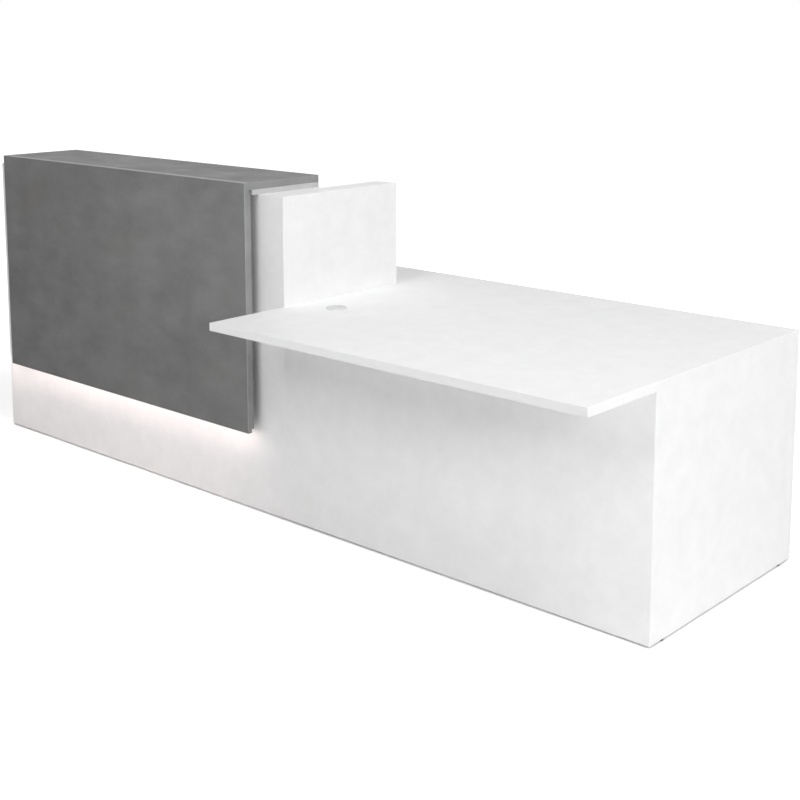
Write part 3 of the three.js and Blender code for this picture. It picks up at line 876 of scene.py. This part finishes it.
@dataclass
class SteelAngles:
    """The drilled angles under the worktops, each with its four screws."""

    surface: Finish
    nodes: Sequence[str]
    screws: CrossHeadScrews
    steel: float = 3.0 * MM
    leg: float = 40.0 * MM
    spacing: float = 32.0 * MM
    arris: float = 0.5 * MM

    def build(self) -> None:
        """Makes every angle and its screws."""
        for node in self.nodes:
            Piece.from_node(node).ease(self.arris).finish(self.surface)
            self.drive_screws(node)

    def drive_screws(self, node: str) -> None:
        """Puts a screw in each hole of an angle.

        Args:
            node: The CAD angle.
        """
        low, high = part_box(node)
        middle = (low + high) / 2
        along = Axis.X if high.x - low.x > high.y - low.y else Axis.Y
        across = Axis.Y if along is Axis.X else Axis.X
        corner, facing = self.corner(node, across, low, high)
        reach = (self.leg + self.steel) / 2
        piece = Piece(f"screws_{node}", "desk", SLOTS[node])
        for side in (-0.5, 0.5):
            start = middle.copy()
            start[along.value] += side * self.spacing
            up = start.copy()
            up[across.value] = corner + facing * reach
            up.z = high.z - self.steel
            self.screws.add(piece, Matrix.Translation(up) @ Matrix.Rotation(math.pi, 4, "X"))
            out = start.copy()
            out[across.value] = corner + facing * self.steel
            out.z = high.z - reach
            self.screws.add(piece, stood_on(out, across.unit * facing))
        piece.finish(self.surface)

    @staticmethod
    def corner(node: str, across: Axis, low: Vector, high: Vector) -> tuple[float, float]:
        """Finds the panel's side of an angle.

        Args:
            node: The CAD angle.
            across: The axis that its legs open along.
            low: Its lowest corner.
            high: Its highest corner.

        Returns:
            Where the panel's face is on that axis, and which way the angle opens from it.
        """
        foot = [v.co[across.value] for v in frame["nodes"][node].data.vertices if v.co.z < low.z + MM]
        at_low = abs(min(foot) - low[across.value]) < NEAR
        return (low[across.value], 1.0) if at_low else (high[across.value], -1.0)


@dataclass
class LightChannel:
    """The light under the fascia: channel, chips on their strip, lit diffuser and end caps."""

    light: Colour = WARM_WHITE
    strength: float = 18.5
    chip_pitch: float = 16.6 * MM
    chip: Point = (5.0 * MM, 5.0 * MM, 0.7 * MM)
    channel_arris: float = 0.2 * MM
    strip_arris: float = 0.15 * MM
    cap_arris: float = 0.4 * MM
    chip_arris: float = 0.2 * MM

    def build(self) -> None:
        """Makes the light's pieces."""
        EasedParts(ALUMINIUM, ["light_channel"], self.channel_arris).build()
        EasedParts(CIRCUIT, ["light_strip"], self.strip_arris).build()
        opal = OpalDiffuser("lit opal diffuser", self.light, self.strength, self.chip_pitch)
        EasedParts(opal, ["light_diffuser"], self.strip_arris).build()
        EasedParts(GREY_PLASTIC, named(["light_end_cap_"]), self.cap_arris).build()
        self.build_chips()

    def build_chips(self) -> None:
        """Sets the light chips along the strip's lower face."""
        low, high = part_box("light_strip")
        length, width, height = self.chip
        count = int((high.x - low.x) / self.chip_pitch)
        start = (low.x + high.x - (count - 1) * self.chip_pitch) / 2
        piece = Piece("light_chips", "desk", SLOTS["light_strip"])
        for step in range(count):
            along = start + step * self.chip_pitch
            centre = Vector((along, (low.y + high.y) / 2, low.z - height / 2))
            half = Vector((length, width, height)) / 2
            piece.block(centre - half, centre + half)
        piece.ease(self.chip_arris, segments=1).finish(CHIP)


@dataclass
class LightDriver:
    """The light's driver on the staff side: its case, two ear screws, inlet pins and lead."""

    arris: float = 0.8 * MM
    ear: float = 14.0 * MM
    ear_depth: float = 3.0 * MM
    inlet: float = 13.8 * MM  # from the case's end to the pins' feet
    pin: float = 1.1 * MM
    pin_tip: float = 0.6 * MM
    pin_straight: float = 8.4 * MM
    pin_length: float = 9.0 * MM
    pin_gap: float = 8.0 * MM
    pin_sides: int = 16
    screws: CrossHeadScrews = field(default_factory=lambda: CrossHeadScrews(3.6 * MM, 2.0 * MM))

    def build(self) -> None:
        """Makes the driver and its lead."""
        Piece.from_node("light_driver").ease(self.arris).finish(WHITE_PLASTIC)
        low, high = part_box("light_driver")
        self.drive_screws(low, high)
        self.set_pins(low, high)
        self.build_lead()

    def drive_screws(self, low: Vector, high: Vector) -> None:
        """Puts a screw in each ear.

        Args:
            low: The driver's lowest corner.
            high: Its highest corner.
        """
        piece = Piece("driver_screws", "desk", SLOTS["bracket_left_end"])
        outward = Matrix.Rotation(-math.pi / 2, 4, "X")
        for x in (low.x + self.ear / 2, high.x - self.ear / 2):
            seat = Vector((x, low.y + self.ear_depth, (low.z + high.z) / 2))
            self.screws.add(piece, Matrix.Translation(seat) @ outward)
        piece.finish(ZINC)

    def set_pins(self, low: Vector, high: Vector) -> None:
        """Sets the two pins in the inlet.

        Args:
            low: The driver's lowest corner.
            high: Its highest corner.
        """
        piece = Piece("driver_inlet_pins", "desk", SLOTS["bracket_left_end"])
        profile = [
            (0.0, 0.0),
            (self.pin, 0.0),
            (self.pin, self.pin_straight),
            (self.pin_tip, self.pin_length),
            (0.0, self.pin_length),
        ]
        back = high.x - self.ear - self.inlet
        depth = (low.y + self.ear_depth + high.y) / 2
        for side in (-0.5, 0.5):
            foot = Vector((back, depth, (low.z + high.z) / 2 + side * self.pin_gap))
            piece.turned(profile, stood_on(foot, Axis.X.unit), sides=self.pin_sides)
        piece.finish(ZINC)

    def build_lead(self) -> None:
        """Makes the lead, rounded off between its facets."""
        made = Piece.from_node("light_lead").finish(WHITE_PLASTIC)
        rounding = made.modifiers.new("round", "SUBSURF")
        rounding.levels = 1
        rounding.render_levels = 1


@dataclass
class CableOutlet:
    """The desktop's cable outlet: liner, lift-out cap and its turning shutter."""

    arris: float = 0.35 * MM

    def build(self) -> None:
        """Makes the outlet's three pieces."""
        EasedParts(GREY_PLASTIC, ["grommet_liner", "grommet_cap"], self.arris).build()
        EasedParts(GREY_PLASTIC, ["grommet_shutter"], self.arris / 2).build()


@dataclass
class LevellingFeet:
    """Levelling feet: a fluted pad under a threaded stud, in a flanged insert."""

    places: Sequence[str]
    pad: float = 4.5 * MM
    sole: Outline = ((-1.6 * MM, 0.0), (-0.4 * MM, 0.4 * MM), (0.0, 1.4 * MM))  # from the rim
    shoulder: float = 0.8 * MM
    stud: float = 3.9 * MM
    root: float = 3.3 * MM
    bury: float = 0.05 * MM  # how far the thread's foot lies under the root
    point: float = 0.8 * MM
    pitch: float = 1.25 * MM
    ridge: Span = (0.04, 0.96)  # where a thread starts and ends, as shares of the pitch
    steps: int = 20
    flutes: int = 18
    flute_depth: float = 0.35 * MM
    insert_arris: float = 0.25 * MM

    def build(self) -> None:
        """Makes every foot and its insert."""
        for place in self.places:
            self.build_foot(f"levelling_foot_{place}")
        EasedParts(ZINC, [f"foot_insert_{place}" for place in self.places], self.insert_arris).build()

    def build_foot(self, node: str) -> None:
        """Makes one foot.

        Args:
            node: The CAD foot that it stands for.
        """
        low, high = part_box(node)
        centre = (low + high) / 2
        place = Matrix.Translation((centre.x, centre.y, low.z))
        height = high.z - low.z
        body = frame["nodes"][node]["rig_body"]
        piece = Piece(f"finished_{node}", body, SLOTS[node], stands_for=(node,))
        rim = (high.x - low.x) / 2 - self.flute_depth
        profile = [
            (0.0, 0.0),
            *((rim + inset, rise) for inset, rise in self.sole),
            (rim, self.pad - self.shoulder),
            (rim - self.shoulder, self.pad),
            (self.root, self.pad),
            (self.root, height - self.point),
            (self.root - self.point, height),
            (0.0, height),
        ]
        piece.turned(profile, place, sides=4 * self.flutes)
        self.flute(piece, centre, rim)
        self.cut_thread(piece, place, self.pad, height - self.point)
        piece.finish(BLACK_PLASTIC)

    def flute(self, piece: Piece, centre: Vector, rim: float) -> None:
        """Waves the pad's rim into finger flutes.

        Args:
            piece: The foot.
            centre: A point of its axis.
            rim: The pad's mean radius.
        """
        for vert in piece.mesh.verts:
            out = Vector((vert.co.x - centre.x, vert.co.y - centre.y, 0.0))
            if out.length > rim - NEAR:
                wave = math.cos(self.flutes * math.atan2(out.y, out.x))
                vert.co += out.normalized() * self.flute_depth * wave

    def cut_thread(self, piece: Piece, place: Matrix, start: float, end: float) -> None:
        """Adds the stud's thread, as one winding ridge closed at both ends.

        Args:
            piece: The foot.
            place: The stud's axis, from the floor up.
            start: The height of the thread's lower end.
            end: The height of its upper end.
        """
        seat = self.root - self.bury
        lower, upper = self.ridge
        count = int((end - start - self.pitch) / self.pitch * self.steps)
        rows: list[list[bmesh.types.BMVert]] = []
        for step in range(count + 1):
            angle = math.tau * step / self.steps
            climb = start + self.pitch * step / self.steps
            taper = min(1.0, step / self.steps, (count - step) / self.steps)
            crest = self.root + (self.stud - self.root) * taper
            section = ((seat, lower), (crest, (lower + upper) / 2), (seat, upper))
            cos, sin = math.cos(angle), math.sin(angle)
            points = [
                Vector((radius * cos, radius * sin, climb + share * self.pitch))
                for radius, share in section
            ]
            rows.append([piece.mesh.verts.new(place @ point) for point in points])
        for first, second in zip(rows, rows[1:]):
            for near, far in ((0, 1), (1, 2), (2, 0)):
                piece.mesh.faces.new((first[near], second[near], second[far], first[far]))
        for tip in (rows[0], rows[-1]):
            piece.mesh.faces.new(tip)


@dataclass(frozen=True)
class SoftLamp:
    """A square soft lamp that looks at the desk."""

    name: str
    place: Point
    size: float
    power: float
    aim: Point = (0.0, 0.0, 0.6)
    in_gloss: bool = True
    tint: Colour = (1.0, 1.0, 1.0)

    def hang(self) -> None:
        """Hangs the lamp and turns it to the desk."""
        light = bpy.data.lights.new(self.name, "AREA")
        light.size = self.size
        light.energy = self.power
        light.color = self.tint
        lamp = bpy.data.objects.new(self.name, light)
        lamp.location = self.place
        lamp.visible_camera = False
        lamp.visible_glossy = self.in_gloss
        beam = Vector(self.aim) - Vector(self.place)
        lamp.rotation_euler = beam.to_track_quat("-Z", "Y").to_euler()
        bpy.context.scene.collection.objects.link(lamp)


@dataclass
class Studio:
    """A pale floor, soft studio light and the camera at the photograph's angle."""

    floor_size: float = 40.0
    floor_tone: Colour = (0.94, 0.94, 0.94)
    shadow_reach: Span = (1.8, 5.0)  # from the middle, where the floor turns white
    floor_lift: Span = (0.5, 0.97)  # how much white is added there
    contact: float = 0.03  # how far the dark under the desk's edge reaches
    open_share: Span = (0.5, 0.8)  # how open the floor is in the dark, and clear of it
    ambient: float = 0.19
    lamps: tuple[SoftLamp, ...] = (
        SoftLamp("key lamp", (3.8, -0.1, 6.4), 3.0, 190.0),
        SoftLamp("side lamp", (7.0, -2.0, 3.2), 2.2, 167.0, in_gloss=False),
        SoftLamp("front lamp", (0.8, -3.9, 3.7), 2.0, 80.0, in_gloss=False),
        SoftLamp("corner lamp", (1.6, -0.55, 0.52), 0.25, 0.16, (1.6, 0.0, 0.52), in_gloss=False),
        SoftLamp(
            "spill lamp",
            (-1.5, -0.345, 0.275),
            size=0.1,
            power=0.09,
            aim=(-1.5, -0.255, 0.075),
            in_gloss=False,
            tint=WARM_WHITE,
        ),
        SoftLamp("back lamp", (-2.5, 5.5, 0.9), 2.6, 150.0, in_gloss=False),
    )
    lens: float = 60.21
    sensor: float = 36.0
    shift: float = -0.22
    stand: Point = (3.3241, -3.2306, 1.6581)
    look_down: float = math.radians(8.366)
    look_left: float = math.radians(41.978)

    def build(self) -> None:
        """Sets up the floor, the surroundings, the lamps and the camera."""
        self.lay_floor()
        self.paint_surroundings()
        for lamp in self.lamps:
            lamp.hang()
        self.stand_camera()

    @staticmethod
    def seen_directly(tree: bpy.types.NodeTree) -> NodeSocket:
        """Tells what the camera, a reflection or a clear material sees from what light bounces off.

        Args:
            tree: The node tree that asks.

        Returns:
            1 for a ray that shows the surroundings, and 0 for one that carries their light.
        """
        path = tree.nodes.new("ShaderNodeLightPath")
        value = path.outputs["Is Camera Ray"]
        for ray in ("Is Glossy Ray", "Is Transmission Ray"):
            value = Studio.combine(tree, "MAXIMUM", value, path.outputs[ray])
        return value

    @staticmethod
    def combine(
        tree: bpy.types.NodeTree, operation: str, first: NodeSocket, second: NodeSocket
    ) -> NodeSocket:
        """Works out one value from two.

        Args:
            tree: The node tree that holds them.
            operation: The Math node's operation.
            first: The first value.
            second: The second value.

        Returns:
            The new value.
        """
        made = tree.nodes.new("ShaderNodeMath")
        made.operation = operation
        for value, socket in zip((first, second), made.inputs):
            tree.links.new(value, socket)
        return made.outputs[0]

    def lay_floor(self) -> None:
        """Lays the floor."""
        mesh = bmesh.new()
        bmesh.ops.create_grid(mesh, x_segments=1, y_segments=1, size=self.floor_size / 2)
        data = bpy.data.meshes.new("studio_floor")
        mesh.to_mesh(data)
        mesh.free()
        floor = bpy.data.objects.new("studio_floor", data)
        bpy.context.scene.collection.objects.link(floor)
        data.materials.append(self.floor_material())

    def floor_material(self) -> Material:
        """Makes the floor's finish, which shows white but keeps the desk's shadow and dark edge."""
        sheet = ShaderSheet("pale studio floor")
        nodes, links = sheet.tree.nodes, sheet.tree.links
        matt = sheet.node("ShaderNodeBsdfDiffuse", Color=(*self.floor_tone, 1.0))
        open_sky = sheet.node("ShaderNodeAmbientOcclusion", Distance=self.contact)
        place = sheet.node("ShaderNodeNewGeometry")
        away = nodes.new("ShaderNodeVectorMath")
        away.operation = "LENGTH"
        links.new(place.outputs["Position"], away.inputs[0])
        level = sheet.span(away.outputs["Value"], self.shadow_reach, self.floor_lift)
        clear = sheet.span(open_sky.outputs["AO"], self.open_share, (0.0, 1.0))
        lift = self.combine(sheet.tree, "MULTIPLY", level, clear)
        shown = self.combine(sheet.tree, "MULTIPLY", self.seen_directly(sheet.tree), lift)
        glow = sheet.node("ShaderNodeEmission", Strength=shown)
        both = nodes.new("ShaderNodeAddShader")
        for shader, socket in zip((matt, glow), both.inputs):
            links.new(shader.outputs[0], socket)
        links.new(both.outputs[0], nodes["Material Output"].inputs["Surface"])
        return sheet.material

    def paint_surroundings(self) -> None:
        """Makes the surroundings white to the eye and an even soft light to the desk."""
        world = bpy.data.worlds.new("white studio")
        bpy.context.scene.world = world
        world.use_nodes = True
        nodes, links = world.node_tree.nodes, world.node_tree.links
        soft = nodes["Background"]
        soft.inputs["Color"].default_value = FULL_WHITE
        soft.inputs["Strength"].default_value = self.ambient
        white = nodes.new("ShaderNodeBackground")
        white.inputs["Color"].default_value = FULL_WHITE
        either = nodes.new("ShaderNodeMixShader")
        links.new(self.seen_directly(world.node_tree), either.inputs[0])
        links.new(soft.outputs[0], either.inputs[1])
        links.new(white.outputs[0], either.inputs[2])
        links.new(either.outputs[0], nodes["World Output"].inputs["Surface"])

    def stand_camera(self) -> None:
        """Stands the camera where the photograph was taken from."""
        optics = bpy.data.cameras.new("camera")
        optics.sensor_width = self.sensor
        optics.lens = self.lens
        optics.shift_y = self.shift
        camera = bpy.data.objects.new("camera", optics)
        camera.location = self.stand
        camera.rotation_euler = (math.pi / 2 - self.look_down, 0.0, self.look_left)
        bpy.context.scene.collection.objects.link(camera)
        bpy.context.scene.camera = camera


def named(starts: Iterable[str]) -> list[str]:
    """Lists the CAD nodes whose names start as given.

    Args:
        starts: The names' first words.

    Returns:
        The nodes, in order of name.
    """
    return sorted(node for node in frame["nodes"] if node.startswith(tuple(starts)))


def in_slot(slot: str) -> list[str]:
    """Lists the CAD nodes of one material slot, in order of name."""
    return sorted(node for node, its_slot in SLOTS.items() if its_slot == slot)


def main() -> None:
    """Builds the desk's looks, one sub-assembly after the other."""
    logging.basicConfig(level=logging.INFO, format="%(name)s: %(message)s")
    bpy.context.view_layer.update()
    bpy.context.scene.view_settings.view_transform = "Standard"
    screws = CrossHeadScrews()
    feet = [node.removeprefix("foot_insert_") for node in named(["foot_insert_"])]
    mitred = ["end_panel_right", "front_panel_low", "desktop_low"]
    base_battens = ["tower_left_base_batten", "tower_right_base_batten"]
    white = [node for node in in_slot("white_board") if node not in (*mitred, "counter_sub_top")]
    broad_arris, fine_arris, timber_arris = 1.3 * MM, 0.6 * MM, 1.2 * MM
    assemblies = [
        MitredBoards(WHITE, WHITE_BAND, WHITE_ARRIS_HIGHLIGHT, mitred, broad_arris),
        Boards(WHITE, WHITE_BAND, WHITE_ARRIS_HIGHLIGHT, white),
        Boards(WHITE, SUB_TOP_EDGE_GREY, SUB_TOP_EDGE_GREY, ["counter_sub_top"]),
        Boards(CONCRETE, CONCRETE_BAND, CONCRETE_BAND, ["counter_top"], broad_arris),
        Boards(FASCIA_CONCRETE_PAINTED_SHADE, CONCRETE_BAND, CONCRETE_ARRIS_HIGHLIGHT, ["fascia_panel"], broad_arris),
        Boards(DARK_BACKING, CONCRETE_BAND, CONCRETE_BAND, in_slot("dark_backing"), fine_arris),
        EasedParts(TIMBER_ALONG, named(["wall_cleat", "fascia_cleat"]), timber_arris),
        EasedParts(TIMBER_ACROSS, base_battens, timber_arris),
        LightChannel(),
        LightDriver(),
        CableOutlet(),
        LevellingFeet(feet),
        SteelAngles(ZINC, named(["bracket_"]), screws),
        Studio(),
    ]
    for assembly in assemblies:
        assembly.build()
        LOG.info("%s done", type(assembly).__name__)


if __name__ == "__main__":
    main()
